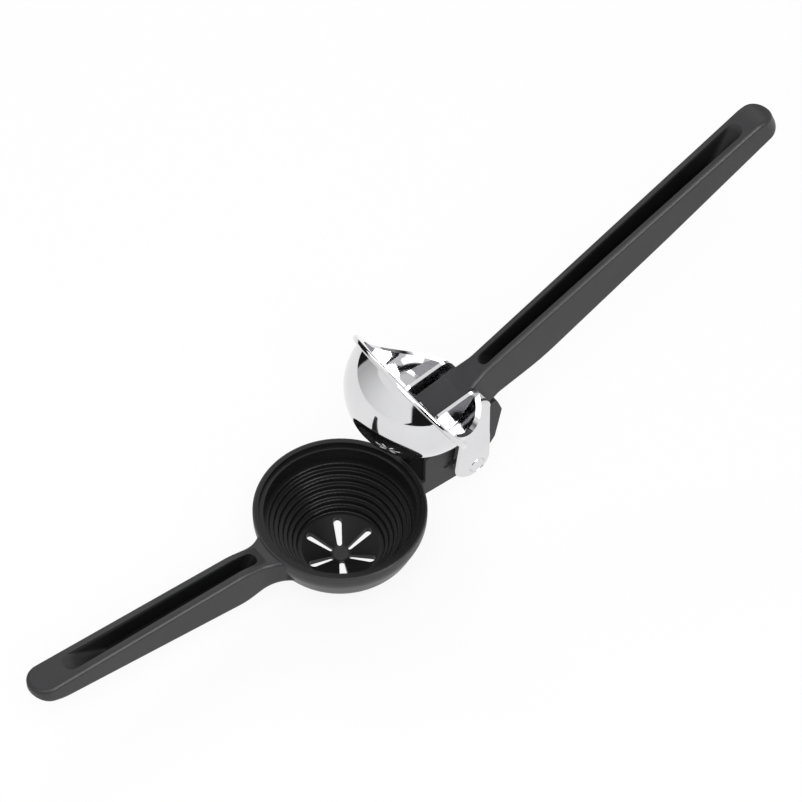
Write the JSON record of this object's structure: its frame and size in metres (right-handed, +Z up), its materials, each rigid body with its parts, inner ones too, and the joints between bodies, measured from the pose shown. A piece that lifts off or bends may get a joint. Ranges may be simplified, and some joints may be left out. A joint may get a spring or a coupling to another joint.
{
  "type": "citrus squeezer",
  "caption": "Hand-held citrus squeezer with a ribbed, slotted cup on a lower handle, a chrome press bowl on a hinge and an upper lever that closes it through a gear segment.",
  "frame": {"origin": "middle of the cup's base, on the plane the cup stands on", "axes": "+Z up out of the cup, +X towards the hinge, so the lower handle points along -X, and +Y along the hinge pins; the squeezer stands open"},
  "size_m": [0.4122, 0.08, 0.1527],
  "materials": {
    "charcoal_nylon": "fine-grained moulded charcoal",
    "bowl_chrome": "mirror chrome plate on a die casting",
    "gear_metal": "as cast, satin",
    "pin_chrome": "chrome plate on turned steel",
    "pin_black": "turned and blackened",
    "pin_steel": "turned and polished",
    "washer_plastic": "plain moulded black"
  },
  "bodies": {
    "cup": {"cup_body": "charcoal_nylon", "sector_gear": "gear_metal", "sector_gear_pin": "pin_black", "hinge_pin": "pin_chrome", "hinge_pin_cap": "pin_chrome", "hinge_washers": "washer_plastic"},
    "bowl": {"press_bowl": "bowl_chrome", "lever_pin": "pin_steel", "lever_pin_cap": "pin_chrome", "lever_washers": "washer_plastic"},
    "lever": {"upper_lever": "charcoal_nylon", "lever_gear": "gear_metal", "lever_gear_pin": "pin_steel"}
  },
  "joints": [
    {"name": "bowl_hinge", "type": "hinge", "parent": "cup", "child": "bowl", "pos_m": [0.0678, 0, 0.0326], "axis": [0, 1, 0], "range_deg": [-61.1, 0]},
    {"name": "lever_pivot", "type": "hinge", "parent": "bowl", "child": "lever", "pos_m": [0.06712, 0, 0.07134], "axis": [0, 1, 0], "range_deg": [-84.6, 0]}
  ],
  "couplings": [
    {"joint": "lever_pivot", "follows": "bowl_hinge", "ratio": 1.3846}
  ]
}
